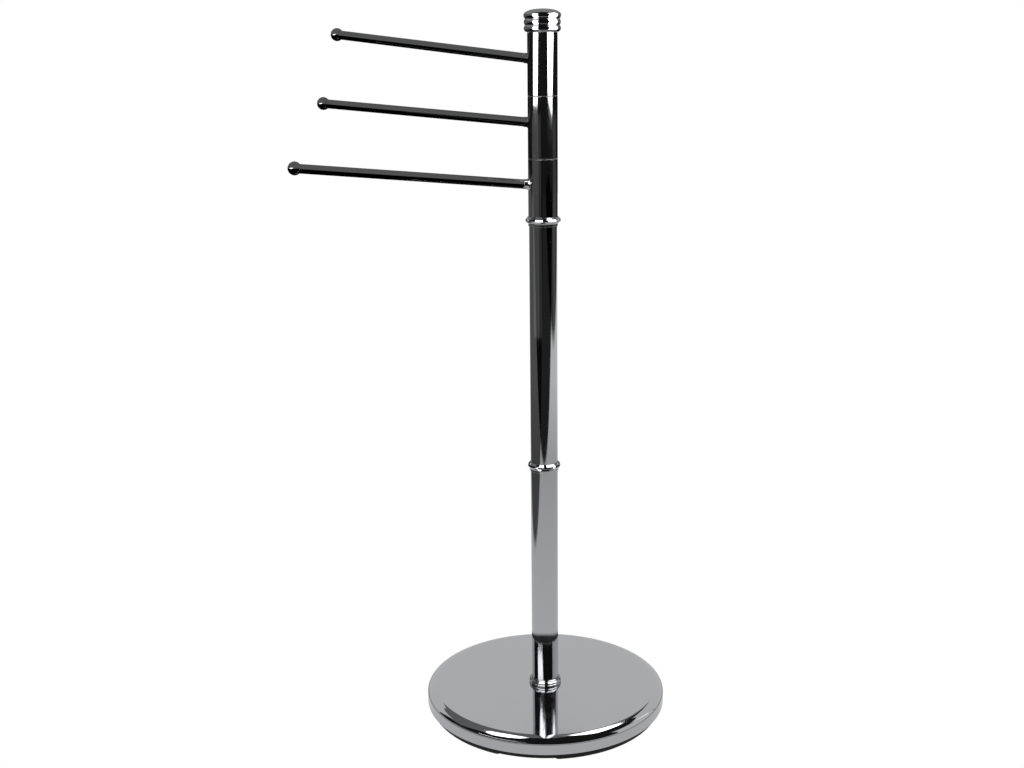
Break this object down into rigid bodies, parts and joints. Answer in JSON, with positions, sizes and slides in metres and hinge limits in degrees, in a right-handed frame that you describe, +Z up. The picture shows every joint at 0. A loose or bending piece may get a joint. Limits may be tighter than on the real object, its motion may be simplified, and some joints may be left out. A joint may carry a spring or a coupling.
{
  "type": "standing rack with swivel arms",
  "caption": "Free-standing chromed rack: weighted round base, slim jointed pole, and swivel arms with ball ends that turn about the pole.",
  "frame": {"origin": "on the pole's axis at floor level, under the middle of the base", "axes": "+Z up along the pole; at rest the arms reach towards -X"},
  "size_m": [0.4233, 0.2906, 0.8319],
  "materials": {
    "chrome": "polished chrome plating on steel tube, pressed steel and turned brass",
    "black_plastic": "moulded black polypropylene, fine texture",
    "black_rubber": "moulded black foot pads",
    "cast_iron": "raw casting with thin black paint",
    "zinc_steel": "bright zinc plate",
    "nylon": "natural white nylon",
    "spring_steel": "oiled spring steel"
  },
  "bodies": {
    "stand": {"foot_pad_1": "black_rubber", "foot_pad_2": "black_rubber", "foot_pad_3": "black_rubber", "foot_pad_4": "black_rubber", "tray_screw_1": "zinc_steel", "tray_screw_2": "zinc_steel", "tray_screw_3": "zinc_steel", "tray_screw_4": "zinc_steel", "base_tray": "black_plastic", "base_weight": "cast_iron", "base_cover": "chrome", "base_bolt": "zinc_steel", "base_bolt_washer": "zinc_steel", "foot_collar": "chrome", "lower_tube": "chrome", "lower_tube_foot_insert": "zinc_steel", "lower_tube_top_insert": "zinc_steel", "lower_joint_ring": "chrome", "joint_stud": "zinc_steel", "middle_tube": "chrome", "middle_tube_foot_insert": "zinc_steel", "middle_tube_top_insert": "zinc_steel", "upper_joint_ring": "chrome", "spindle": "zinc_steel", "bottom_thrust_washer": "nylon", "sleeve_washer_1": "nylon", "sleeve_washer_2": "nylon", "wave_spring": "spring_steel", "top_washer": "zinc_steel", "top_nut": "zinc_steel", "top_cap": "chrome"},
    "upper_arm": {"upper_arm_sleeve": "chrome", "upper_arm_lower_bush": "nylon", "upper_arm_upper_bush": "nylon", "upper_arm_screw": "zinc_steel", "upper_arm_root_flare": "chrome", "upper_arm_plug": "zinc_steel", "upper_arm_tube": "chrome", "upper_arm_ball": "chrome"},
    "middle_arm": {"middle_arm_sleeve": "chrome", "middle_arm_lower_bush": "nylon", "middle_arm_upper_bush": "nylon", "middle_arm_screw": "zinc_steel", "middle_arm_root_flare": "chrome", "middle_arm_plug": "zinc_steel", "middle_arm_tube": "chrome", "middle_arm_ball": "chrome"},
    "lower_arm": {"lower_arm_sleeve": "chrome", "lower_arm_lower_bush": "nylon", "lower_arm_upper_bush": "nylon", "lower_arm_screw": "zinc_steel", "lower_arm_root_flare": "chrome", "lower_arm_plug": "zinc_steel", "lower_arm_tube": "chrome", "lower_arm_ball": "chrome"}
  },
  "joints": [
    {"name": "upper_arm_swivel", "type": "hinge", "parent": "stand", "child": "upper_arm", "pos_m": [0, 0, 0.77705], "axis": [0, 0, 1], "continuous": true},
    {"name": "middle_arm_swivel", "type": "hinge", "parent": "stand", "child": "middle_arm", "pos_m": [0, 0, 0.70835], "axis": [0, 0, 1], "continuous": true},
    {"name": "lower_arm_swivel", "type": "hinge", "parent": "stand", "child": "lower_arm", "pos_m": [0, 0, 0.63965], "axis": [0, 0, 1], "continuous": true}
  ]
}
